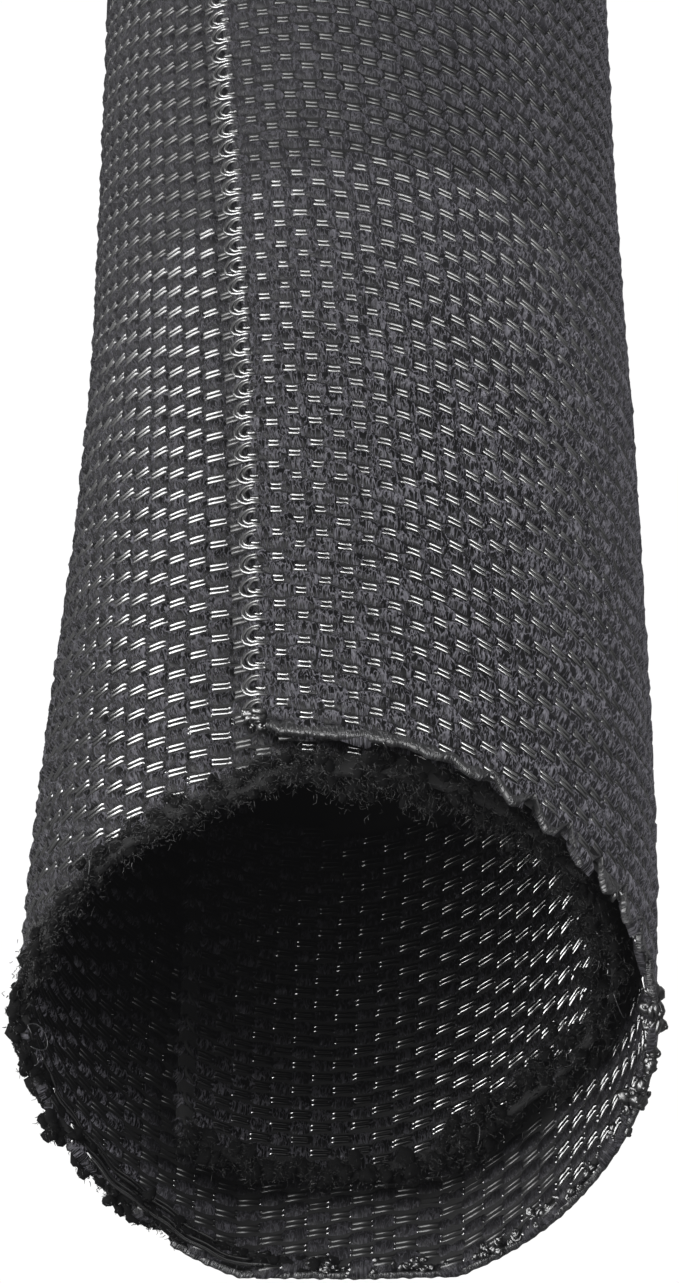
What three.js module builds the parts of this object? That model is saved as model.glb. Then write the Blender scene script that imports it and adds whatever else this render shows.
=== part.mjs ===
import * as THREE from 'three';
import { mergeVertices } from 'three/addons/utils/BufferGeometryUtils.js';

// A split woven cable sleeve: one strip of cloth, curled on itself for a little over one and a half turns.
// Millimetres, +Z up. The sleeve lies on the floor along Y with its open mouth at the -Y end.
// Strip angles run in degrees along the curled strip, from its outer long edge to its tucked one.
// Section angles are in degrees, clockwise from the top as seen from the mouth.

// Driving dimensions
const bore = 25;
const wall = 0.7;
const lapGap = 0.35;
const length = 305;

// The strip round the section
const facetAngle = 6;
const seamAngle = -21;
const stripAngle = 606;
const tuckStart = 288;
const tuckEnd = 350;

// The seam wanders round the tube as it goes back from the mouth
const seamDrift = -12.5;
const driftLength = 85;
const driftPower = 1.5;
const driftFadeOuter = 90;
const driftFadeInner = [240, 330];

// The mouth is spread, most of all on the left, and the tucked lap stands in from the outer one: [strip angle, size]
const spreadLength = 70;
const spreadKeys = [
  [0, 0.3], [40, 0.2], [80, 0.3], [111, 0.5], [150, 0.6], [201, 1.3], [225, 1.1], [246, 1.1], [262, 1.5], [278, 2],
  [291, 2.3], [325, 1.3], [350, 0.2],
];
const standInLength = 30;
const standInKeys = [[360, 0], [400, 0.4], [460, 1.2], [500, 1.2], [540, 0.8], [580, 0.3], [stripAngle, 0]];

// How far back the mouth's cut edge lies from the foremost point: [strip angle, distance]
const cutKeys = [
  [0, 7.5], [6, 5.6], [14, 4.6], [24, 4.2], [42, 3.2], [72, 1.6], [96, 2.4], [118, 1.6], [150, 0.6], [200, 0],
  [240, 0.2], [280, 1], [310, 2], [340, 3], [400, 3.4], [450, 4.5], [480, 6], [517, 7.5], [541, 6], [566, 5.2],
  [stripAngle, 4.5],
];

// Stations along the sleeve where the section is drawn, the first of them on the cut edge
const stations = [0, 9, 13, 18, 24, 31, 40, 50, 60, spreadLength, driftLength, length];

const outerRadius = bore / 2 + wall * 2 + lapGap;
const underRadius = bore / 2 + wall;
const axisHeight = outerRadius * Math.cos(THREE.MathUtils.degToRad(facetAngle / 2));
const facetCount = stripAngle / facetAngle;

const blend = THREE.MathUtils.smoothstep;

function alongKeys(keys, angle) {
  if (angle < keys[0][0] || angle > keys[keys.length - 1][0]) return 0;
  const next = Math.max(keys.findIndex(([at]) => at >= angle), 1);
  const [at0, size0] = keys[next - 1];
  const [at1, size1] = keys[next];
  return THREE.MathUtils.mapLinear(angle, at0, at1, size0, size1);
}

function fade(along, reach) {
  return along < reach ? Math.cos((Math.PI / 2) * (along / reach)) ** 2 : 0;
}

function driftAt(strip, along) {
  const nearOuterEdge = 1 - blend(strip, 0, driftFadeOuter);
  const nearTuckedLap = blend(strip, ...driftFadeInner);
  const wander = Math.min(along / driftLength, 1) ** driftPower;
  return seamDrift * Math.max(nearOuterEdge, nearTuckedLap) * wander;
}

// Radius of the strip's outer face. Where the spread mouth would pass below the floor it lies flat on it.
function radiusAt(strip, along, angle) {
  const curled = THREE.MathUtils.lerp(outerRadius, underRadius, blend(strip, tuckStart, tuckEnd));
  const spread = alongKeys(spreadKeys, strip) * fade(along, spreadLength);
  const standIn = alongKeys(standInKeys, strip) * fade(along, standInLength);
  const radius = curled + spread - standIn;
  const down = -Math.cos(angle);
  return down > 0 ? Math.min(radius, axisHeight / down) : radius;
}

// One point of the cloth: strip angle, distance from the mouth, and depth below its outer face
function clothPoint(strip, station, depth) {
  const along = station === 0 ? alongKeys(cutKeys, strip) : station;
  const angle = THREE.MathUtils.degToRad(seamAngle + strip + driftAt(strip, along));
  const radius = radiusAt(strip, along, angle) - depth;
  return [radius * Math.sin(angle), along - length / 2, axisHeight + radius * Math.cos(angle)];
}

function wovenStrip() {
  const points = [];
  const faces = [];
  const columns = facetCount + 1;
  for (const depth of [0, wall]) {
    for (const station of stations) {
      for (let column = 0; column < columns; column += 1) {
        points.push(...clothPoint(column * facetAngle, station, depth));
      }
    }
  }
  const point = (side, row, column) => (side * stations.length + row) * columns + column;
  const quad = (a, b, c, d) => faces.push(a, c, b, a, d, c);
  const back = stations.length - 1;
  const edge = facetCount;
  for (let row = 0; row < back; row += 1) {
    for (let column = 0; column < edge; column += 1) {
      quad(point(0, row, column), point(0, row + 1, column), point(0, row + 1, column + 1), point(0, row, column + 1));
      quad(point(1, row, column), point(1, row, column + 1), point(1, row + 1, column + 1), point(1, row + 1, column));
    }
    quad(point(0, row, 0), point(1, row, 0), point(1, row + 1, 0), point(0, row + 1, 0));
    quad(point(0, row, edge), point(0, row + 1, edge), point(1, row + 1, edge), point(1, row, edge));
  }
  for (let column = 0; column < edge; column += 1) {
    quad(point(0, 0, column), point(0, 0, column + 1), point(1, 0, column + 1), point(1, 0, column));
    quad(point(0, back, column), point(1, back, column), point(1, back, column + 1), point(0, back, column + 1));
  }
  const geometry = new THREE.BufferGeometry();
  geometry.setAttribute('position', new THREE.Float32BufferAttribute(points, 3));
  geometry.setIndex(faces);
  const solid = mergeVertices(geometry);
  solid.computeVertexNormals();
  return solid;
}

const clothMaterial = new THREE.MeshStandardMaterial({ color: 0x38383b, roughness: 0.75, metalness: 0 });
const sleeve = new THREE.Mesh(wovenStrip(), clothMaterial);
sleeve.name = 'woven_sleeve';

const part = new THREE.Group();
part.add(sleeve);

export default part;
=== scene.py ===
import math
import bpy
import numpy as np
from mathutils import Matrix, Vector


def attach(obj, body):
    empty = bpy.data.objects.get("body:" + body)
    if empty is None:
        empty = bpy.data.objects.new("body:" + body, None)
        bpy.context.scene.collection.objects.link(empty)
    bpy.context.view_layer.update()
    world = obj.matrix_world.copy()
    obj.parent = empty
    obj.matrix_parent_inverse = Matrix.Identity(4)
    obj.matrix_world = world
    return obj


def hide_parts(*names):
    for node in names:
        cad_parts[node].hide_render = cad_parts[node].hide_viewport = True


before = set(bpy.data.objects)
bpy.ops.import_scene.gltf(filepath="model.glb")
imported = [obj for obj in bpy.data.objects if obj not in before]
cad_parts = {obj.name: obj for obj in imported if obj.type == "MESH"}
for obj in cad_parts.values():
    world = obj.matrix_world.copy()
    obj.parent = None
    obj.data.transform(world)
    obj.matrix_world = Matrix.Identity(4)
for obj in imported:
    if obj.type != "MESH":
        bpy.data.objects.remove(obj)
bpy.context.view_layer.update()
mm = 0.001
scene = bpy.context.scene
dice = np.random.default_rng(7)

# The curled strip in mm and degrees: the solid's own values, with swellKeys and easeKeys over them.
# Each list of keys pairs a strip angle, counted from the seam edge, with a size there.
sleeve = {
    "bore": 25, "wall": 0.7, "lapGap": 0.35, "length": 305,
    "seamAngle": -21, "stripAngle": 606, "tuck": (288, 350), "floorFacet": 6,
    "seamDrift": -12.5, "driftLength": 85, "driftPower": 1.5,
    "spreadLength": 70,
    "spreadKeys": [(0, 0.3), (40, 0.2), (80, 0.3), (111, 0.5), (150, 0.6), (201, 1.3), (225, 1.1),
                   (246, 1.1), (262, 1.5), (278, 2), (291, 2.3), (325, 1.3), (350, 0.2), (351, 0)],
    "swellRise": (0, 22), "swellFall": (50, 90),
    "swellKeys": [(0, 0), (60, 0.15), (90, 0.4), (130, 0.35), (170, 0), (606, 0)],
    "easeLength": 60,
    "easeKeys": [(0, 0), (80, 0), (98, -0.28), (125, -0.22), (150, -0.3), (178, -0.3), (198, -0.1),
                 (210, 0), (420, 0), (480, 0.9), (510, 0.5), (540, 0), (575, -0.4), (606, -0.3)],
    "standInLength": 30,
    "standInKeys": [(360, 0), (400, 0.4), (460, 1.2), (500, 1.2), (540, 0.8), (580, 0.3), (606, 0)],
    "cutKeys": [(0, 7.5), (6, 5.6), (14, 4.6), (24, 4.2), (42, 3.2), (72, 1.6), (96, 2.4), (118, 1.6),
                (150, 0.6), (200, 0), (240, 0.2), (280, 1), (310, 2), (340, 3), (400, 3.4), (450, 4.5),
                (480, 6), (517, 7.5), (541, 6), (566, 5.2), (606, 4.5)],
}
outerRadius = sleeve["bore"] / 2 + sleeve["wall"] * 2 + sleeve["lapGap"]
underRadius = sleeve["bore"] / 2 + sleeve["wall"]
axisHeight = outerRadius * math.cos(math.radians(sleeve["floorFacet"] / 2))
halfWall = sleeve["wall"] / 2

# The weave: yarn runs along the sleeve, one yarn to a column, and doubled picks cross it
weave = {
    "columns": 80,          # in one turn
    "pickStep": 1.1,        # from one pair of picks to the next
    "rows": (-4, 320),      # the last lie past the far end at the seam, and come forward across the cloth
    "loosening": 1.2, "looseLength": 30,     # the rows stand wider near the cut
    "scatter": (0.02, 0.03, 0.012),          # how unevenly the floats and picks lie
    "unlike": 0.04,         # how much one float's size differs from the next
    # place across, and how far forward a pick has come there
    "lead": ([-2, 30, 60, 90, 145], [-0.7, 10.8, 19, 25, 37]),
    # strip angle, and how much of a pick shows between its yarns there
    "shown": ([0, 20, 40, 60, 121, 281, 345, 366, 445, 606],
              [0.55, 0.66, 0.78, 0.9, 0.8, 1, 1, 0.7, 0.95, 0.95]),
    # strip angle, and how far behind the cut the weave starts
    "frayed": [(0, 0.25), (284, 0.25), (298, 1.5), (368, 1.8), (450, 1.7), (490, 1), (606, 0.8)],
}
columnPitch = 2 * math.pi * (outerRadius - halfWall) / weave["columns"]


def blend(value, low, high):
    share = np.clip((np.asarray(value, float) - low) / (high - low), 0, 1)
    return share * share * (3 - 2 * share)


def fade(along, reach):
    return np.where(along < reach, np.cos(math.pi / 2 * np.clip(along / reach, 0, 1)) ** 2, 0)


def alongKeys(keys, strip):
    places, sizes = zip(*keys)
    return np.interp(strip, places, sizes)


# Width across the flat strip, measured at the middle of the cloth, for each strip angle
stripSteps = np.linspace(0, sleeve["stripAngle"], 4001)
curled = outerRadius + (underRadius - outerRadius) * blend(stripSteps, *sleeve["tuck"])
widthSteps = np.concatenate([[0], np.cumsum(np.radians(np.diff(stripSteps)) * (curled[1:] - halfWall))])
flatWidth = float(widthSteps[-1])


def stripAt(across):
    return np.interp(across, widthSteps, stripSteps)


def acrossAt(strip):
    return float(np.interp(strip, stripSteps, widthSteps))


# The cut edge, which follows the weave in scallops where the outer lap was cut hot
scallops = {
    "size": [(0, 0.03), (30, 0.06), (44, 0.3), (54, 0.75), (70, 0.9), (88, 0.8), (102, 0.2), (112, 0),
             (606, 0)],
    "period": 2.1, "first": 0.5,
}


def scallopWave(across):
    return np.abs(np.sin(math.pi * (across / scallops["period"] + scallops["first"]))) * 2 - 1


def cutAt(across):
    strip = stripAt(across)
    return alongKeys(sleeve["cutKeys"], strip) - alongKeys(scallops["size"], strip) * scallopWave(across)


def sectionAngle(strip, along):
    drift = sleeve["seamDrift"] * np.clip(along / sleeve["driftLength"], 0, 1) ** sleeve["driftPower"]
    return sleeve["seamAngle"] + strip + drift


# Flat cloth, across x along x height in mm, rolled up into the sleeve, in metres
def rollUp(flat):
    across, along, height = np.asarray(flat, float).T
    beyond = across - np.clip(across, 0, flatWidth)
    strip = stripAt(across) + np.degrees(beyond / outerRadius)
    angle = np.radians(sectionAngle(strip, along))
    radius = outerRadius + (underRadius - outerRadius) * blend(strip, *sleeve["tuck"])
    radius = radius + alongKeys(sleeve["spreadKeys"], strip) * fade(along, sleeve["spreadLength"])
    radius = radius - alongKeys(sleeve["standInKeys"], strip) * fade(along, sleeve["standInLength"])
    radius = radius + alongKeys(sleeve["easeKeys"], strip) * fade(along, sleeve["easeLength"])
    risen, fallen = blend(along, *sleeve["swellRise"]), blend(along, *sleeve["swellFall"])
    radius = radius + alongKeys(sleeve["swellKeys"], strip) * risen * (1 - fallen)
    down = -np.cos(angle)
    floorRadius = axisHeight / np.maximum(down, 1e-6)
    radius = np.where(down > 0, np.minimum(radius, floorRadius), radius) - halfWall + height
    x = radius * np.sin(angle)
    y = along - sleeve["length"] / 2
    z = np.maximum(axisHeight + radius * np.cos(angle), 0)
    return np.stack([x, y, z], -1) * mm


def deselectAll():
    for o in bpy.context.selected_objects:
        o.select_set(False)


# A mesh object from points in metres and faces of one size
def makePiece(name, points, faces, material):
    mesh = bpy.data.meshes.new(name)
    points = np.asarray(points, np.float32)
    faces = np.asarray(faces, np.int32)
    corners = faces.shape[1]
    mesh.vertices.add(len(points))
    mesh.vertices.foreach_set("co", points.ravel())
    mesh.loops.add(faces.size)
    mesh.loops.foreach_set("vertex_index", faces.ravel())
    mesh.polygons.add(len(faces))
    mesh.polygons.foreach_set("loop_start", np.arange(len(faces), dtype=np.int32) * corners)
    mesh.polygons.foreach_set("use_smooth", np.full(len(faces), True))
    mesh.update(calc_edges=True)
    mesh.materials.append(material)
    piece = bpy.data.objects.new(name, mesh)
    scene.collection.objects.link(piece)
    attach(piece, "root")
    return piece


# Takes a shaped primitive as plain points and triangles, and removes it. The triangles are sorted, because
# a bisected mesh has them in another order each run.
def takeShape(piece):
    mesh = piece.data
    mesh.calc_loop_triangles()
    points = np.array([v.co for v in mesh.vertices])
    faces = np.array(sorted(tuple(t.vertices) for t in mesh.loop_triangles))
    bpy.data.objects.remove(piece)
    return points, faces


def joinShapes(shapes):
    points, faces, start = [], [], 0
    for p, f in shapes:
        points.append(p)
        faces.append(f + start)
        start += len(p)
    return np.concatenate(points), np.concatenate(faces)


# Thin round strands along many paths at once: paths (count, steps, 3) in metres, radii (count, steps)
def strands(paths, radii, sides):
    paths = np.asarray(paths, float)
    count, steps, _ = paths.shape
    radii = np.broadcast_to(radii, (count, steps))
    run = np.gradient(paths, axis=1)
    run /= np.linalg.norm(run, axis=2, keepdims=True) + 1e-12
    helper = np.tile([0.31, 0.52, 0.79], (count, steps, 1))
    side = np.cross(run, helper)
    side /= np.linalg.norm(side, axis=2, keepdims=True) + 1e-12
    other = np.cross(run, side)
    turn = np.arange(sides) * 2 * math.pi / sides
    ring = side[:, :, None, :] * np.cos(turn)[None, None, :, None]
    ring = ring + other[:, :, None, :] * np.sin(turn)[None, None, :, None]
    points = paths[:, :, None, :] + ring * radii[:, :, None, None]
    faces = []
    for step in range(steps - 1):
        for s in range(sides):
            a, b = step * sides + s, step * sides + (s + 1) % sides
            faces += [(a, b, b + sides), (a, b + sides, a + sides)]
    for s in range(1, sides - 1):
        faces.append((0, s + 1, s))
        last = (steps - 1) * sides
        faces.append((last, last + s, last + s + 1))
    faces = np.array(faces)
    start = (np.arange(count) * steps * sides)[:, None, None]
    return points.reshape(-1, 3), (faces[None] + start).reshape(-1, 3)


def mathNode(tree, operation, first, second=None):
    node = tree.nodes.new("ShaderNodeMath")
    node.operation = operation
    for place, value in enumerate((first, second)):
        if value is None:
            continue
        if isinstance(value, (int, float)):
            node.inputs[place].default_value = value
        else:
            tree.links.new(value, node.inputs[place])
    return node.outputs[0]


# Fibres: thin raised lines where a drawn-out noise passes its middle, two sets over one another
fibreLook = {
    "sets": [{"across": 3.4, "along": 0.65, "width": 0.046}, {"across": 5, "along": 1.1, "width": 0.042}],
    "detail": 2, "bent": 0.3,
    "shift": (7, 3),        # sets the two noises apart
}


def fibreGroup():
    group = bpy.data.node_groups.new("YarnFibres", "ShaderNodeTree")
    group.interface.new_socket(name="Flat", in_out="INPUT", socket_type="NodeSocketVector")
    group.interface.new_socket(name="Height", in_out="OUTPUT", socket_type="NodeSocketFloat")
    ins = group.nodes.new("NodeGroupInput")
    outs = group.nodes.new("NodeGroupOutput")
    lines = []
    for fine in fibreLook["sets"]:
        across, along = fine["across"], fine["along"]
        mapping = group.nodes.new("ShaderNodeMapping")
        mapping.inputs["Scale"].default_value = (sleeve["length"] * across, sleeve["length"] * along, 1)
        shiftAcross, shiftAlong = fibreLook["shift"]
        mapping.inputs["Location"].default_value = (across * shiftAcross, along * shiftAlong, 0)
        group.links.new(ins.outputs["Flat"], mapping.inputs["Vector"])
        noise = group.nodes.new("ShaderNodeTexNoise")
        noise.inputs["Scale"].default_value = 1
        noise.inputs["Detail"].default_value = fibreLook["detail"]
        noise.inputs["Distortion"].default_value = fibreLook["bent"]
        group.links.new(mapping.outputs["Vector"], noise.inputs["Vector"])
        away = mathNode(group, "ABSOLUTE", mathNode(group, "SUBTRACT", noise.outputs["Fac"], 0.5))
        ridge = mathNode(group, "SUBTRACT", 1, mathNode(group, "DIVIDE", away, fine["width"]))
        lines.append(mathNode(group, "MAXIMUM", ridge, 0))
    group.links.new(mathNode(group, "MAXIMUM", *lines), outs.inputs["Height"])
    return group


fibreStreaks = fibreGroup()


def shaderOf(material):
    return material.node_tree.nodes["Principled BSDF"]


def newMaterial(name, look):
    material = bpy.data.materials.new(name)
    material.use_nodes = True
    shader = shaderOf(material)
    shader.inputs["Base Color"].default_value = (*look["color"], 1)
    shader.inputs["Roughness"].default_value = look["roughness"]
    shader.inputs["Specular IOR Level"].default_value = look["specular"]
    shader.inputs["IOR"].default_value = look.get("ior", 1.5)
    return material


def flatCoords(material):
    node = material.node_tree.nodes.new("ShaderNodeUVMap")
    node.uv_map = "flat"
    return node.outputs["UV"]


def flatPlace(material):
    node = material.node_tree.nodes.new("ShaderNodeSeparateXYZ")
    material.node_tree.links.new(flatCoords(material), node.inputs["Vector"])
    return node.outputs


# A value that changes from one size to another between two places on the flat cloth, in mm
def changeOver(material, place, near, far, sizes):
    node = material.node_tree.nodes.new("ShaderNodeMapRange")
    node.inputs["From Min"].default_value = near / sleeve["length"]
    node.inputs["From Max"].default_value = far / sleeve["length"]
    node.inputs["To Min"].default_value, node.inputs["To Max"].default_value = sizes
    material.node_tree.links.new(place, node.inputs["Value"])
    return node.outputs["Result"]


def addBump(material, height, look):
    bump = material.node_tree.nodes.new("ShaderNodeBump")
    bump.inputs["Strength"].default_value = look["bump"]
    bump.inputs["Distance"].default_value = look["bumpDepth"] * mm
    material.node_tree.links.new(height, bump.inputs["Height"])
    material.node_tree.links.new(bump.outputs["Normal"], shaderOf(material).inputs["Normal"])


def addTones(material, share, look):
    ramp = material.node_tree.nodes.new("ShaderNodeValToRGB")
    ramp.color_ramp.elements[0].color = (*look["dark"], 1)
    ramp.color_ramp.elements[1].color = (*look["light"], 1)
    material.node_tree.links.new(share, ramp.inputs["Fac"])
    material.node_tree.links.new(ramp.outputs["Color"], shaderOf(material).inputs["Base Color"])


def useFibres(material):
    node = material.node_tree.nodes.new("ShaderNodeGroup")
    node.node_tree = fibreStreaks
    material.node_tree.links.new(flatCoords(material), node.inputs["Flat"])
    return node.outputs["Height"]


# Charcoal yarn, a bundle of fine fibres, some of which catch the light: the raised fibres are painted far
# lighter than the yarn, a painted glint
yarnLook = {
    "color": (0.02, 0.02, 0.022), "roughness": 0.5, "specular": 0.06,
    # The light tone on the fibres is a painted glint, not the yarn's own colour
    "dark": (0.0102, 0.01, 0.0115), "light": (0.54, 0.525, 0.6),    # between the fibres, and on them
    "bump": 1, "bumpDepth": 0.07,
    # Over these places the painted fibre glints even out to one mid tone
    "evenAcross": (13, 24), "evenAlong": (36, 70),  # the fibres even out over these places, in mm
    "evenUntil": 60, "evenShare": 0.6, "evenTone": 0.17,
}
yarn = newMaterial("CharcoalYarn", yarnLook)
place = flatPlace(yarn)
evenSizes = (0, yarnLook["evenShare"])
evenAcross = changeOver(yarn, place["X"], *yarnLook["evenAcross"], evenSizes)
evenAlong = changeOver(yarn, place["Y"], *yarnLook["evenAlong"], evenSizes)
outerLap = mathNode(yarn.node_tree, "LESS_THAN", place["X"], yarnLook["evenUntil"] / sleeve["length"])
evenAcross = mathNode(yarn.node_tree, "MULTIPLY", evenAcross, outerLap)
evenness = mathNode(yarn.node_tree, "MAXIMUM", evenAcross, evenAlong)
# The fibre ridges give the bump, and they also carry the painted glint in the colour
fibres = useFibres(yarn)
lacking = mathNode(yarn.node_tree, "SUBTRACT", yarnLook["evenTone"], fibres)
reliefAndGlint = mathNode(yarn.node_tree, "ADD", fibres, mathNode(yarn.node_tree, "MULTIPLY", lacking, evenness))
addBump(yarn, reliefAndGlint, yarnLook)
addTones(yarn, reliefAndGlint, yarnLook)

# The stiff round filament of the picks, duller with distance along the sleeve
pickLook = {
    "color": (0.008, 0.008, 0.009), "roughness": 0.26, "specular": 0.5, "ior": 1.66,
    "dullAlong": (22, 55), "dulled": 0.42,
}
# The selvedge loops: the pick filament painted lighter, a painted sheen along their whole outline
litLoopLook = {**pickLook, "color": (0.03, 0.03, 0.032), "roughness": 0.38, "specular": 0.8}
filament = newMaterial("PickFilament", pickLook)
dullFilament = newMaterial("PickFilamentDull", {**pickLook, "roughness": 0.5, "specular": 0.28})
litLoopFilament = newMaterial("PickFilamentLoopLit", litLoopLook)
brightFilament = newMaterial("PickFilamentBright", {**pickLook, "roughness": 0.2})
glossSizes = (pickLook["roughness"], pickLook["dulled"])
gloss = changeOver(filament, flatPlace(filament)["Y"], *pickLook["dullAlong"], glossSizes)
filament.node_tree.links.new(gloss, shaderOf(filament).inputs["Roughness"])

# Cloth below the weave, deep between the yarns, coloured darker than the yarn: painted shade between the
# yarns
groundLook = {"color": (0.006, 0.006, 0.007), "roughness": 0.9, "specular": 0.15}
ground = newMaterial("WeaveGroundShade", groundLook)

# Loose ends of the yarn, teased into wool, and the shade inside it
woolLook = {"color": (0.006, 0.006, 0.0065), "roughness": 0.55, "specular": 0.2}
wool = newMaterial("TeasedYarn", woolLook)
coreLook = {"color": (0.004, 0.004, 0.0045), "roughness": 0.95, "specular": 0.05}
woolDark = newMaterial("WoolShade", coreLook)

# Loose fibres that lie in the light, painted light grey: a painted highlight
litFibreLook = {"color": (0.16, 0.16, 0.17), "roughness": 0.5, "specular": 0.3}
litFibre = newMaterial("LooseFibreLit", litFibreLook)

# Yarn and filament melted together by the hot cut
meltLook = {
    "color": (0.055, 0.055, 0.059), "roughness": 0.45, "specular": 0.3,
    "dark": (0.03, 0.03, 0.032), "light": (0.12, 0.12, 0.13), "bump": 0.8, "bumpDepth": 0.08,
}
melt = newMaterial("MeltedEdge", meltLook)
mottle = useFibres(melt)
addBump(melt, mottle, meltLook)
addTones(melt, mottle, meltLook)
scorchLook = {"color": (0.016, 0.016, 0.017), "roughness": 0.34, "specular": 0.5}
scorch = newMaterial("ScorchedYarn", scorchLook)
print("materials are ready")


# Gives a piece the flat cloth's own coordinates as its map
def mapFlat(piece, flat):
    layer = piece.data.uv_layers.new(name="flat")
    loops = np.empty(len(piece.data.loops), np.int32)
    piece.data.loops.foreach_get("vertex_index", loops)
    layer.data.foreach_set("uv", (flat[loops, :2] / sleeve["length"]).astype(np.float32).ravel())


# A piece made on the flat cloth and rolled up with it
def clothPiece(name, flat, faces, material):
    piece = makePiece(name, rollUp(flat), faces, material)
    mapFlat(piece, flat)
    return piece


# The ground cloth: a thin closed strip on which the weave lies
clothLook = {"half": 0.18, "acrossStep": 1.09, "alongStep": 4.5, "behindCut": 0.5}


def groundCloth():
    cols = int(flatWidth / clothLook["acrossStep"]) + 1
    rows = int(sleeve["length"] / clothLook["alongStep"]) + 1
    across = np.linspace(0, flatWidth, cols)
    share = np.linspace(0, 1, rows)
    flats = []
    for height in (clothLook["half"], -clothLook["half"]):
        start = alongKeys(sleeve["cutKeys"], stripAt(across))[:, None] + clothLook["behindCut"]
        along = start + (sleeve["length"] - start) * share[None, :]
        wide = np.broadcast_to(across[:, None], along.shape)
        flats.append(np.stack([wide, along, np.full(along.shape, height)], -1).reshape(-1, 3))
    flat = np.concatenate(flats)
    c, r = np.meshgrid(np.arange(cols - 1), np.arange(rows - 1), indexing="ij")
    a = (c * rows + r).ravel()
    top = np.stack([a, a + rows, a + rows + 1, a + 1], -1)
    under = (top + cols * rows)[:, ::-1]
    ring = np.concatenate([np.arange(cols) * rows, (cols - 1) * rows + np.arange(1, rows),
                           np.arange(cols - 2, -1, -1) * rows + rows - 1, np.arange(rows - 2, 0, -1)])
    after = np.roll(ring, -1)
    rim = np.stack([after, ring, ring + cols * rows, after + cols * rows], -1)
    return flat, np.concatenate([top, under, rim])


flat, faces = groundCloth()
# The ground cloth's dark colour is painted shade between the yarns
cloth = clothPiece("sleeveCloth", flat, faces, ground)
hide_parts("woven_sleeve")
print("ground cloth", len(faces) * 2, "triangles")


# Yarn float: a pillow half as high as wide, flat underneath
def floatShape(look):
    deselectAll()
    bpy.ops.mesh.primitive_uv_sphere_add(segments=look["segments"], ring_count=look["rings"] * 2, radius=1)
    pillow = bpy.context.object
    bpy.ops.object.mode_set(mode="EDIT")
    bpy.ops.mesh.select_all(action="SELECT")
    bpy.ops.mesh.bisect(plane_co=(0, 0, 0.001), plane_no=(0, 0, 1), clear_inner=True, use_fill=True)
    bpy.ops.object.mode_set(mode="OBJECT")
    points, faces = takeShape(pillow)
    out = points.copy()
    turn = np.arctan2(points[:, 1], points[:, 0])
    reach = np.hypot(points[:, 0], points[:, 1])
    power = look["square"]
    square = 1 / (np.abs(np.cos(turn)) ** power + np.abs(np.sin(turn)) ** power) ** (1 / power)
    out[:, 0] = look["halfWide"] * reach * square * np.cos(turn)
    out[:, 1] = look["halfLong"] * reach * square * np.sin(turn)
    out[:, 2] = look["low"] + (look["top"] - look["low"]) * np.clip(points[:, 2], 0, 1) ** look["dome"]
    return out, faces


# Filament dash: the stretch of a pick that lies over one yarn and dives at both ends, twice side by side
def dashShape(look):
    across = np.array(look["across"]) * look["long"]
    height = np.array(look["heights"]) * look["rise"]
    path = np.stack([across, np.zeros_like(across), height], -1)
    points, faces = strands(path[None], np.full((1, len(across)), look["radius"]), look["sides"])
    if look["apart"] == 0:
        return points, faces
    apart = np.array([0, look["apart"] / 2, 0])
    return joinShapes([(points - apart, faces), (points + apart, faces)])


fineRun = {"across": [-0.6, -0.43, -0.3, 0.3, 0.43, 0.6], "heights": [-1, 0.93, 1, 1, 0.93, -1]}
flatRun = {"across": [-0.5, 0.5], "heights": [1, 1]}
plainRun = {"across": [-0.58, -0.34, 0.34, 0.58], "heights": [-1.2, 1, 1, -1.2]}
nearFloat = {"segments": 12, "rings": 3, "halfWide": 1, "halfLong": 0.7, "low": -0.12, "top": 0.42,
             "square": 3, "dome": 0.6, "rough": 0.03}
plainFloat = {**nearFloat, "segments": 8, "rings": 2, "rough": 0.012}
edgeFloat = {**plainFloat, "halfWide": 0.65, "halfLong": 1.2, "top": 0.3}
nearDash = {**fineRun, "long": 1, "rise": 0.17, "radius": 0.13, "sides": 6, "apart": 0.42}
plainDash = {**nearDash, **plainRun, "sides": 4}
farDash = {**nearDash, **flatRun, "sides": 3, "radius": 0.15, "apart": 0}
lowDash = {**plainDash, **flatRun, "rise": 0.12}
nearBore = {"float": {**nearFloat, "top": 0.34}, "dash": {**nearDash, "rise": 0.19}, "in": True,
            "pick": brightFilament}
plainBore = {"float": {**plainFloat, "top": 0.34}, "dash": {**plainDash, "rise": 0.19}, "in": True}
lowBore = {**plainBore, "dash": lowDash}
dashReach = 0.86    # the length of a dash above the cloth, and the width of a float, before they are fitted
floatReach = 0.76


# How far forward a pick has come at each place across the cloth
def pickLead(across):
    return np.interp(across, *weave["lead"])


# Where the weave's floats or dashes fall on one face of the cloth
def weavePlaces(stretch, dashes, faceIn):
    first, last = (round(acrossAt(edge) / columnPitch) for edge in stretch["strips"])
    last -= stretch.get("bare", 0) if dashes else 0     # columns at the edge without picks
    i, j = np.meshgrid(np.arange(first, last), np.arange(*weave["rows"]), indexing="ij")
    keep = (i + j + (1 if faceIn else 0)) % 2 == (0 if dashes else 1)
    i, j = i[keep], j[keep]
    across = (i + 0.5) * columnPitch
    along = j * weave["pickStep"] - pickLead(across)
    along = along - weave["loosening"] * fade(along, weave["looseLength"])
    near, far = stretch["along"]
    start = np.maximum(cutAt(across) + alongKeys(weave["frayed"], stripAt(across)), near)
    keep = (along > start) & (along < far) & (across < flatWidth)
    return np.stack([across[keep], along[keep], np.zeros(keep.sum())], -1)


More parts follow.
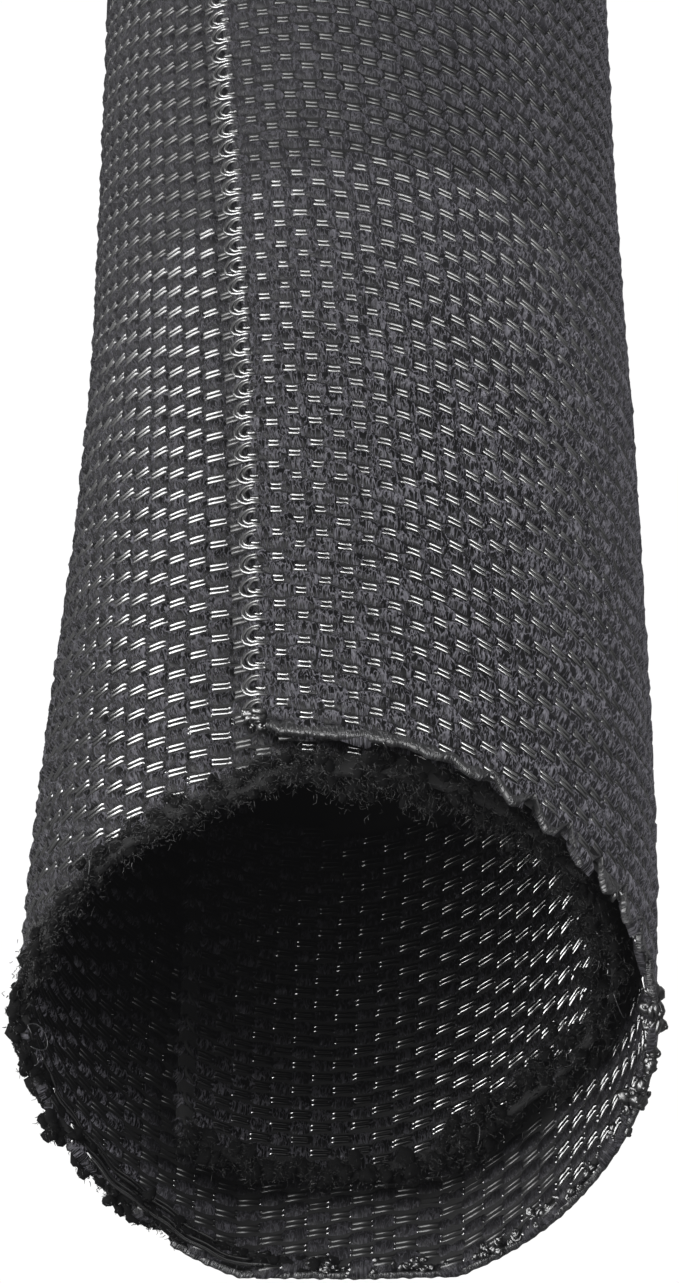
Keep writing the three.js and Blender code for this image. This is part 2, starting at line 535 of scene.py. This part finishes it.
# Sets one small shape down at every such place, sheared along the pick
def weaveOn(name, stretch, shape, look, dashes, faceIn, material):
    places = weavePlaces(stretch, dashes, faceIn)
    places = places + dice.normal(0, 1, places.shape) * weave["scatter"]
    points, faces = shape
    points = points.copy()
    if faceIn:
        points[:, 2] *= -1
        faces = faces[:, ::-1]
    copies = np.broadcast_to(points, (len(places), *points.shape)).copy()
    if not dashes:
        copies *= 1 + dice.normal(0, weave["unlike"], (len(places), 1, 3))
        copies += dice.normal(0, look["rough"], copies.shape)
    shown = np.interp(stripAt(places[:, 0]), *weave["shown"])[:, None]
    copies[:, :, 0] *= shown / dashReach if dashes else (columnPitch - shown / 2) / floatReach
    slant = (pickLead(places[:, 0] + 0.5) - pickLead(places[:, 0] - 0.5))[:, None]
    copies[:, :, 1] -= slant * copies[:, :, 0]
    flat = (places[:, None, :] + copies).reshape(-1, 3)
    faces = (faces[None] + (np.arange(len(places)) * len(points))[:, None, None]).reshape(-1, 3)
    clothPiece(name, flat, faces, material)
    print(name, len(places), "places", len(faces), "triangles")


# Each stretch of the weave: between which strip angles, how far along, and of which shapes
stretches = [
    {"name": "Right", "strips": (2, 121), "along": (0, 62), "float": nearFloat, "dash": nearDash},
    {"name": "RightFar", "strips": (2, 121), "along": (62, 104), "pick": dullFilament},
    {"name": "Under", "strips": (121, 281), "along": (0, 36)},
    {"name": "Left", "strips": (281, 354), "along": (0, 62), "float": nearFloat, "dash": nearDash},
    {"name": "BySeam", "strips": (354, 366), "along": (0, 62), "pick": dullFilament},
    {"name": "LeftFar", "strips": (281, 366), "along": (62, 104), "pick": dullFilament},
    {"name": "Step", "strips": (366, 440), "along": (0, 10)},
    {"name": "Edge", "strips": (0, 4.5), "along": (0, 104), "float": edgeFloat},
    {"name": "BoreLeft", "strips": (230, 335), "along": (0, 34), **lowBore, "pick": dullFilament},
    {"name": "BoreTop", "strips": (335, 445), "along": (0, 14), **plainBore},
    {"name": "BoreRight", "strips": (445, 606), "along": (0, 38), **nearBore, "bare": 1},
    {"name": "Gap", "strips": (90, 158), "along": (0, 9), **plainBore},
    {"name": "LowLip", "strips": (158, 230), "along": (0, 9), **lowBore, "pick": dullFilament},
]
plainStretch = {"float": plainFloat, "dash": plainDash, "pick": filament, "in": False}
for stretch in stretches:
    s = {**plainStretch, **stretch}
    weaveOn("yarn" + s["name"], s, floatShape(s["float"]), s["float"], False, s["in"], yarn)
    weaveOn("picks" + s["name"], s, dashShape(s["dash"]), s["dash"], True, s["in"], s["pick"])


# Where the cloth is far off or out of sight: a skin whose yarns stand up from it, under plainer picks
skins = [
    # Where a skin dips below the ground cloth, the ground's dark colour shows between the yarns: painted
    # shade
    {"name": "weaveBack", "strips": (0, 366), "along": (103, 304.6), "high": 0.4, "low": -0.14},
    {"name": "weaveBelow", "strips": (121, 281), "along": (35, 105), "high": 0.4, "low": -0.14},
    {"name": "boreBack", "strips": (200, 606), "along": (270, 304.6), "high": -0.34, "low": 0.1},
]
farPicks = [
    {"name": "picksBack", "strips": (2, 366), "along": (104, 304.4), "in": False},
    {"name": "picksBelow", "strips": (121, 281), "along": (36, 104), "in": False},
    {"name": "picksBoreBack", "strips": (200, 600), "along": (278, 304.4), "in": True},
]


rimInset = 0.05     # a skin ends this far inside the cloth's edges


# One point on each yarn and each gap between, high and low in turn
def skinCloth(look):
    first, last = (round(acrossAt(edge) / columnPitch) for edge in look["strips"])
    near, far = look["along"]
    i = np.arange(first, last)
    across = (i + 0.5) * columnPitch
    start = np.ceil((near + pickLead(across)) / weave["pickStep"])
    rows = int((far - near) / weave["pickStep"])
    j = start[:, None] + np.arange(rows)[None, :]
    along = np.minimum(j * weave["pickStep"] - pickLead(across)[:, None], far)
    height = np.where((i[:, None] + j) % 2 == 1, look["high"], look["low"])
    height[:, 0] = height[:, -1] = look["low"] / 2
    wide = np.broadcast_to(across[:, None], along.shape)
    cloth = np.stack([wide, along, height], -1)
    rims = [cloth[:1].copy(), cloth[-1:].copy()]
    for rim, edge in zip(rims, (first, last)):
        rim[:, :, 0] = np.clip(edge * columnPitch, rimInset, flatWidth - rimInset)
        rim[:, :, 2] = 0
    cloth = np.concatenate([rims[0], cloth, rims[1]])
    cols = len(cloth)
    c, r = np.meshgrid(np.arange(cols - 1), np.arange(rows - 1), indexing="ij")
    a = (c * rows + r).ravel()
    quads = np.stack([a, a + rows, a + rows + 1, a + 1], -1)
    return cloth.reshape(-1, 3), quads if look["high"] > 0 else quads[:, ::-1]


for look in skins:
    flat, faces = skinCloth(look)
    clothPiece(look["name"], flat, faces, yarn)
    print(look["name"], len(faces) * 2, "triangles")
for stretch in farPicks:
    weaveOn(stretch["name"], stretch, dashShape(farDash), farDash, True, stretch["in"], dullFilament)


# Lumpy cores, one at each place
def lumps(places, sizes, detail, rough):
    deselectAll()
    bpy.ops.mesh.primitive_ico_sphere_add(subdivisions=detail, radius=1)
    points, faces = takeShape(bpy.context.object)
    copies = np.broadcast_to(points, (len(places), *points.shape)).copy()
    copies *= 1 + dice.normal(0, rough, (len(places), len(points), 1))
    turn = dice.uniform(-0.5, 0.5, len(places))
    copies *= sizes[:, None, :]
    x, y = copies[:, :, 0].copy(), copies[:, :, 1].copy()
    copies[:, :, 0] = x * np.cos(turn)[:, None] - y * np.sin(turn)[:, None]
    copies[:, :, 1] = x * np.sin(turn)[:, None] + y * np.cos(turn)[:, None]
    flat = (places[:, None, :] + copies).reshape(-1, 3)
    start = (np.arange(len(places)) * len(points))[:, None, None]
    return flat, (faces[None] + start).reshape(-1, 3)


# Curly fibres that start near given places and head out of the mouth
def curls(places, look):
    count = len(places)
    steps = look["steps"]
    share = np.linspace(0, 1, steps)[None, :, None]
    sideways = dice.normal(0, look["sideways"], count)
    lifted = dice.normal(look["lift"], look["flare"], count)
    heading = np.stack([sideways, -np.ones(count), lifted], -1)
    heading /= np.linalg.norm(heading, axis=1, keepdims=True)
    reach = dice.uniform(*look["length"], count)[:, None, None]
    path = places[:, None, :] + heading[:, None, :] * share * reach
    for wave in (1, 2):
        phase = dice.uniform(0, 2 * math.pi, (count, 1, 3))
        pace = dice.uniform(*look["pace"], (count, 1, 3)) * wave
        size = look["curl"] / wave * dice.uniform(*look["bends"], (count, 1, 3))
        path = path + size * (np.sin(phase + pace * share * math.pi) - np.sin(phase)) * share ** 0.5
    taper = look["radius"] * (1 - look["taper"] * np.linspace(0, 1, steps) ** 2)[None, :]
    return strands(path, taper * dice.uniform(*look["unlike"], (count, 1)), 3)


# Wool at the plain cut edges, in mm: each run has so many tufts to the mm, with a core and its fibres
woolRuns = [
    {"strips": (206, 250), "tufts": 4, "core": (0.34, 0.34, 0.3), "rough": 0.2,
     "spread": 0.16, "back": 0.35, "deep": 0.7,
     "fibres": 22, "roots": 0.75, "length": (0.1, 0.3), "lift": 0, "flare": 0.5, "curl": 0.1},
    {"strips": (242, 296), "tufts": 6, "core": (0.32, 0.34, 0.3), "rough": 0.2,
     "spread": 0.32, "back": 0.2, "deep": 0.8,
     "fibres": 18, "roots": 0.5, "length": (0.1, 0.3), "lift": 0.3, "flare": 0.5, "curl": 0.08},
    {"strips": (296, 372), "tufts": 9, "core": (0.3, 0.34, 0.24), "rough": 0.22,
     "spread": 0.25, "back": 0.1, "deep": 2,
     "fibres": 29, "roots": 1.1, "length": (0.1, 0.42), "lift": 0.15, "flare": 0.6, "curl": 0.12},
    {"strips": (372, 540), "tufts": 6, "core": (0.3, 0.38, 0.34), "rough": 0.22,
     "spread": 0.5, "back": 0.1, "deep": 1.7,
     "fibres": 32, "roots": 1.1, "length": (0.12, 0.45), "lift": -0.45, "flare": 0.6, "curl": 0.16},
    {"strips": (540, 605), "tufts": 2.4, "core": (0.4, 0.5, 0.4), "rough": 0.2,
     "spread": 0.3, "back": 0.1, "deep": 0.7,
     "fibres": 45, "roots": 0.75, "length": (0.12, 0.45), "lift": -0.2, "flare": 0.5, "curl": 0.16},
]
tufting = {"apart": 0.12, "lifted": 0.6, "sizes": (0.75, 1.25), "detail": 2}
fibreEnds = {"steps": 3, "sideways": 0.9, "radius": 0.024, "taper": 0.65, "unlike": (0.7, 1.2),
             "pace": (1.5, 4.5), "bends": (0.3, 1)}
for n, run in enumerate(woolRuns):
    low, high = (acrossAt(edge) for edge in run["strips"])
    tufts = int((high - low) * run["tufts"])
    across = np.linspace(low, high, tufts) + dice.normal(0, tufting["apart"], tufts)
    lift = dice.normal(run["lift"] * tufting["lifted"], run["spread"], tufts)
    along = cutAt(across) + run["back"] + dice.uniform(0, run["deep"], tufts)
    places = np.stack([across, along, lift], -1)
    sizes = np.array(run["core"]) * dice.uniform(*tufting["sizes"], (tufts, 3))
    flat, coreFaces = lumps(places, sizes, tufting["detail"], run["rough"])
    clothPiece("woolCore" + str(n), flat, coreFaces, woolDark)
    roots = np.repeat(places, run["fibres"], axis=0)
    roots = roots + dice.normal(0, 1, roots.shape) * np.array(run["core"]) * run["roots"]
    flat, fibreFaces = curls(roots, {**fibreEnds, **run})
    clothPiece("wool" + str(n), flat, fibreFaces, wool)
    print("wool", n, len(coreFaces) + len(fibreFaces), "triangles")


# The hot-cut lip: a smooth band over the outer lap's edge that follows the weave in scallops
lip = {
    "step": 0.1, "until": 238, "overlap": 0.05,
    "waver": ((0.04, 7.3), (0.03, 11.9)),       # how far the edge strays, and how often
    "ripple": 0.06, "lean": 0.25,
    # strip angle, and how far the band reaches back
    "band": [(0, 0.9), (6, 1.1), (20, 1), (34, 0.8), (46, 0.6), (60, 0.5), (100, 0.5), (116, 1.2),
             (128, 0.8), (150, 0.5), (206, 0.6), (212, 1), (232, 0.9), (238, 0.2)],
    # share of the band, and height over the cloth
    "profile": [(1, 0.24), (0.7, 0.34), (0.35, 0.4), (0.1, 0.42), (-0.04, 0.38), (-0.08, 0.26),
                (-0.03, 0.12), (0.4, 0.04)],
}


def hotLip():
    across = np.arange(-lip["overlap"], acrossAt(lip["until"]), lip["step"])
    strip = stripAt(across)
    edge = cutAt(across)
    for size, often in lip["waver"]:
        edge = edge + size * np.sin(across * often)
    band = alongKeys(lip["band"], strip)
    wave = alongKeys(scallops["size"], strip) * scallopWave(across)
    rings = []
    for reach, height in lip["profile"]:
        back = max(reach, 0) if height > 0.1 else 0     # the last point lies under the band
        along = edge + wave * back + band * back + min(reach, 0)
        ripple = lip["ripple"] * np.sin(across * 2 * math.pi / columnPitch + reach * 3) * back
        rings.append(np.stack([across, along, height + ripple - lip["lean"] * wave * (1 - back)], -1))
    flat = np.stack(rings, 1)
    count, sides = flat.shape[:2]
    s, r = np.meshgrid(np.arange(count - 1), np.arange(sides), indexing="ij")
    a = (s * sides + r).ravel()
    b = (s * sides + (r + 1) % sides).ravel()
    quads = np.stack([a, a + sides, b + sides, b], -1)
    return flat.reshape(-1, 3), quads


flat, faces = hotLip()
clothPiece("hotCutLip", flat, faces, melt)
print("hot-cut lip", len(faces) * 2, "triangles")


# Selvedge: the pair of picks turns back round a long edge, one loop inside the other
lastRow = int(sleeve["length"] / weave["pickStep"] / 2 - 0.5)
seamLoops = {
    "rows": (4, lastRow), "opens": 100, "steps": 8, "thick": 0.1, "low": 0.1, "high": 0.4, "arch": 0.05,
    "wander": (0.04, 0.05), "rough": 0.008,     # how far a loop strays across and along, and how unevenly
    "loops": [{"long": 0.88, "wide": 0.62, "middle": 0.42, "tail": 1},
              {"long": 0.6, "wide": 0.34, "middle": 0.42, "tail": 0.9}],
}
innerLoops = {
    **seamLoops, "rows": (3, 22),
    "loops": [{"long": 0.42, "wide": 0.35, "middle": 0.35, "tail": 0.9}],
}


def selvedge(look):
    shapes = []
    start = np.arange(*look["rows"]) * weave["pickStep"] * 2
    start = start - weave["loosening"] * fade(start, weave["looseLength"])
    count = len(start)
    points = look["steps"] + 2
    strayAcross, strayAlong = look["wander"]
    wander = dice.normal(0, strayAlong, (count, 1))
    for loop in look["loops"]:
        turn = np.radians(np.linspace(-look["opens"], look["opens"], look["steps"]))
        bow = loop["middle"] - loop["wide"] * np.cos(turn)
        arch = look["high"] + look["arch"] * np.cos(turn)
        across = np.concatenate([[loop["tail"]], bow, [loop["tail"]]])
        along = loop["long"] * np.sin(np.concatenate([turn[:1], turn, turn[-1:]]))
        height = np.concatenate([[look["low"]], arch, [look["low"]]])
        path = np.stack([across, along, height], -1)[None]
        path = path + dice.normal(0, look["rough"], (count, points, 3))
        path[:, :, 1] += start[:, None] + wander
        path[:, :, 0] += dice.normal(0, strayAcross, (count, 1))
        shapes.append(strands(path, np.full((1, points), look["thick"]), 6))
    return joinShapes(shapes)


flat, faces = selvedge(seamLoops)
# The seam's loops wear the lighter filament: a painted sheen
clothPiece("selvedgeLoops", flat, faces, litLoopFilament)
print("selvedge", len(faces), "triangles")
flat, faces = selvedge(innerLoops)
flat = np.array([flatWidth, 0, 0]) + flat * [-1, 1, -0.9]   # turned over, at the tucked edge
# The tucked loops wear the ground cloth's dark colour: painted shade inside the bore
clothPiece("tuckedLoops", flat, faces, ground)

# Picks laid bare along the lower left of the cut
bareLook = {"thick": 0.12, "steps": 30, "waver": 0.1, "often": 1.1, "over": 0.06}
bareRuns = [
    {"strips": (218, 262), "along": 0.2, "height": -0.3},
    {"strips": (222, 268), "along": 0.55, "height": -0.33},
    {"strips": (229, 275), "along": 1.2, "height": -0.36},
    {"strips": (236, 281), "along": 1.6, "height": -0.34},
]
paths = []
for run in bareRuns:
    low, high = (acrossAt(edge) for edge in run["strips"])
    across = np.linspace(low, high, bareLook["steps"])
    along = cutAt(across) + run["along"] + bareLook["waver"] * np.sin(across * bareLook["often"])
    height = run["height"] + bareLook["over"] * np.sin(across * 2 * math.pi / columnPitch / 2)
    paths.append(np.stack([across, along, height], -1))
flat, faces = strands(np.array(paths), np.full((1, bareLook["steps"]), bareLook["thick"]), 6)
clothPiece("barePicks", flat, faces, filament)

# A few long loose fibres: where each curls, and how far round
strayLook = {"thick": 0.024, "steps": 16, "wobble": 0.25, "wobbles": 1.7, "squashed": 0.6,
             "liftAtCut": 0.4, "liftOnCloth": 0.03, "lifts": 1.3}
strays = [
    {"strip": 289, "along": -0.4, "height": -0.6, "size": 0.8, "round": 300},
    {"strip": 284, "along": 0.1, "height": 0.1, "size": 0.5, "round": 220},
    {"strip": 533, "along": -0.4, "height": -0.7, "size": 0.9, "round": 260},
    {"strip": 478, "along": -0.3, "height": 0.3, "size": 1, "round": 130},
    {"strip": 466, "along": -0.2, "height": -1.1, "size": 0.8, "round": 170},
    {"strip": 74, "along": 15, "height": 0.5, "size": 0.7, "round": 60},
    {"strip": 322, "along": 0.6, "height": 0.5, "size": 0.6, "round": 160},
    {"strip": 500, "along": -0.3, "height": -0.6, "size": 0.6, "round": 200},
]
paths = []
for stray in strays:
    atCut = stray["along"] < 5      # the others lie on the cloth
    middle = acrossAt(stray["strip"])
    turn = np.radians(np.linspace(0, stray["round"], strayLook["steps"]) + dice.uniform(0, 360))
    size = stray["size"] * (1 + strayLook["wobble"] * np.sin(turn * strayLook["wobbles"]))
    across = middle + size * np.cos(turn)
    along = stray["along"] + cutAt(middle) * atCut + size * strayLook["squashed"] * np.sin(turn)
    lift = strayLook["liftAtCut"] if atCut else strayLook["liftOnCloth"]
    height = stray["height"] + lift * np.sin(turn * strayLook["lifts"])
    paths.append(np.stack([across, along, height], -1))
flat, faces = strands(np.array(paths), np.full((1, strayLook["steps"]), strayLook["thick"]), 4)
# The loose fibres wear the light grey of a painted highlight
clothPiece("strayFibres", flat, faces, litFibre)
print("bare picks and loose fibres are in place")

# Melted stumps of yarn at the right and bottom of the mouth, and the coiled end at the seam's corner:
# each is a lump in a coil, whose sizes are shares of the run's size
stumpLook = {
    "strays": 0.2, "steps": 14, "turns": (1.1, 2.2), "wide": (0.4, 1.3), "tall": 2, "upright": 1.2,
    "rough": 0.02, "thick": 0.5, "thins": 0.15, "unlike": (0.8, 1.2),
    "core": (0.7, 1.2), "coreDetail": 2, "coreRough": 0.1,
}
stumpRuns = [
    {"strips": (104, 130), "count": 18, "size": 0.36, "out": (0.12, 0.2), "back": 0.2},
    {"strips": (128, 178), "count": 40, "size": 0.22, "out": (-0.05, 0.12), "back": 0.3},
    {"strips": (174, 214), "count": 36, "size": 0.18, "out": (-0.05, 0.1), "back": 0.5},
    {"strips": (0, 2.5), "count": 7, "size": 0.34, "out": (0.35, 0.2), "back": 0},
]
for n, run in enumerate(stumpRuns):
    count = run["count"]
    across = np.interp(dice.uniform(*run["strips"], count), stripSteps, widthSteps)
    lift = dice.normal(*run["out"], count)
    along = cutAt(across) + dice.normal(run["back"], stumpLook["strays"], count)
    places = np.stack([across, along, lift], -1)
    wind = np.linspace(0, 1, stumpLook["steps"])[None, :]
    turn = wind * dice.uniform(*stumpLook["turns"], (count, 1)) * 2 * math.pi
    size = run["size"] * dice.uniform(*stumpLook["wide"], (count, 1)) * np.sin(math.pi * (0.2 + 0.7 * wind))
    rise = np.broadcast_to((wind - 0.5) * run["size"] * stumpLook["tall"], turn.shape)
    coil = np.stack([size * np.cos(turn), rise, size * np.sin(turn)], -1)
    leaning = np.linalg.qr(dice.normal(0, 1, (count, 3, 3)) + np.eye(3) * stumpLook["upright"])[0]
    coil = places[:, None, :] + coil @ leaning + dice.normal(0, stumpLook["rough"], coil.shape)
    thick = run["size"] * (stumpLook["thick"] - stumpLook["thins"] * wind)
    thick = thick * dice.uniform(*stumpLook["unlike"], (count, 1))
    coils, coilFaces = strands(coil, thick, 6)
    sizes = run["size"] * dice.uniform(*stumpLook["core"], (count, 3))
    cores, coreFaces = lumps(places, sizes, stumpLook["coreDetail"], stumpLook["coreRough"])
    flat, faces = joinShapes([(coils, coilFaces), (cores, coreFaces)])
    clothPiece("stumps" + str(n), flat, faces, scorch)
    print("stumps", n, len(faces), "triangles")

# Camera, from the photo's view: focal length and frame in its pixels, and the pixel that the aim lands on
view = {"focal": 10500, "height": 1283, "width": 679, "elevation": 31.5, "aim": (0, -149.5, 14.23),
        "lands": (358, 1003), "pixelsPerMm": 20.6, "sensor": 36}
tilt = math.radians(view["elevation"])
forward = Vector((0, math.cos(tilt), -math.sin(tilt)))
upward = Vector((0, math.sin(tilt), math.cos(tilt)))
depth = view["focal"] / view["pixelsPerMm"]
spot = Vector(view["aim"]) - forward * depth
spot -= Vector((1, 0, 0)) * (view["lands"][0] - view["width"] / 2) / view["pixelsPerMm"]
spot += upward * (view["lands"][1] - view["height"] / 2) / view["pixelsPerMm"]
deselectAll()
bpy.ops.object.camera_add(location=spot * mm, rotation=(math.pi / 2 - tilt, 0, 0))
camera = bpy.context.object
camera.name = "photoCamera"
camera.data.sensor_fit = "VERTICAL"
camera.data.sensor_height = view["sensor"]
camera.data.lens = view["focal"] * view["sensor"] / view["height"]
camera.data.clip_start = 0.01
camera.data.clip_end = 20
scene.camera = camera

# Floor and light
floorLook = {"size": 6, "color": (0.9, 0.9, 0.9), "roughness": 0.9, "specular": 0.1}
# How bright the floor and the backdrop look to the camera, and how much light the backdrop gives
studio = {"seenAs": 1.02, "ambient": 0.06}
deselectAll()
bpy.ops.mesh.primitive_plane_add(size=floorLook["size"])
floor = bpy.context.object
floor.name = "paleFloor"
floorPaint = newMaterial("PaleFloor", floorLook)
tree = floorPaint.node_tree
path = tree.nodes.new("ShaderNodeLightPath")
glow = tree.nodes.new("ShaderNodeEmission")
glow.inputs["Strength"].default_value = studio["seenAs"]
mix = tree.nodes.new("ShaderNodeMixShader")
tree.links.new(path.outputs["Is Camera Ray"], mix.inputs["Fac"])
tree.links.new(shaderOf(floorPaint).outputs["BSDF"], mix.inputs[1])
tree.links.new(glow.outputs["Emission"], mix.inputs[2])
tree.links.new(mix.outputs["Shader"], tree.nodes["Material Output"].inputs["Surface"])
floor.data.materials.append(floorPaint)

world = bpy.data.worlds.new("Studio")
scene.world = world
world.use_nodes = True
tree = world.node_tree
back = tree.nodes["Background"]
back.inputs["Color"].default_value = (1, 1, 1, 1)
path = tree.nodes.new("ShaderNodeLightPath")
level = tree.nodes.new("ShaderNodeMapRange")
level.inputs["To Min"].default_value = studio["ambient"]
level.inputs["To Max"].default_value = studio["seenAs"]
tree.links.new(path.outputs["Is Camera Ray"], level.inputs["Value"])
tree.links.new(level.outputs["Result"], back.inputs["Strength"])

# Lamps look at the mouth from a side, in metres and watts; those that aren't matte make only glints
lamps = [
    {"name": "leftBox", "toward": (-0.88, -0.4, 0.38), "away": 0.6, "size": (0.24, 1.9),
     "power": 44, "matte": False},
    {"name": "frontBox", "toward": (-0.2, -0.5, 0.84), "away": 0.6, "size": (0.14, 0.6),
     "power": 11, "matte": False},
    {"name": "wideRight", "toward": (0.9, 0.1, 0.3), "away": 0.8, "size": (1.1, 1.6),
     "power": 0.8, "matte": False},
    {"name": "softTop", "toward": (0.5, 0.15, 0.85), "away": 0.8, "size": (1, 1.2),
     "power": 4.4, "matte": True},
]
aim = Vector((0, -0.115, 0.014))
for lamp in lamps:
    toward = Vector(lamp["toward"]).normalized()
    deselectAll()
    across = Vector((0, 1, 0)).cross(toward).normalized()
    turn = Matrix((across, toward.cross(across), toward)).transposed().to_euler()
    bpy.ops.object.light_add(type="AREA", location=aim + toward * lamp["away"], rotation=turn)
    box = bpy.context.object
    box.name = lamp["name"]
    box.data.shape = "RECTANGLE"
    box.data.size, box.data.size_y = lamp["size"]
    box.data.energy = lamp["power"]
    box.visible_diffuse = lamp["matte"]
print("camera, floor and lamps are set")

# The photo's deepest shade isn't quite black
scene.view_settings.view_transform = "Standard"
curves = scene.view_settings.curve_mapping
scene.view_settings.use_curve_mapping = True
curves.black_level = (-0.0035, -0.0035, -0.0037)
curves.update()

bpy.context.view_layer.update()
meshes = [o.data for o in scene.objects if o.type == "MESH"]
print("triangles in all", sum(len(face.vertices) - 2 for mesh in meshes for face in mesh.polygons))
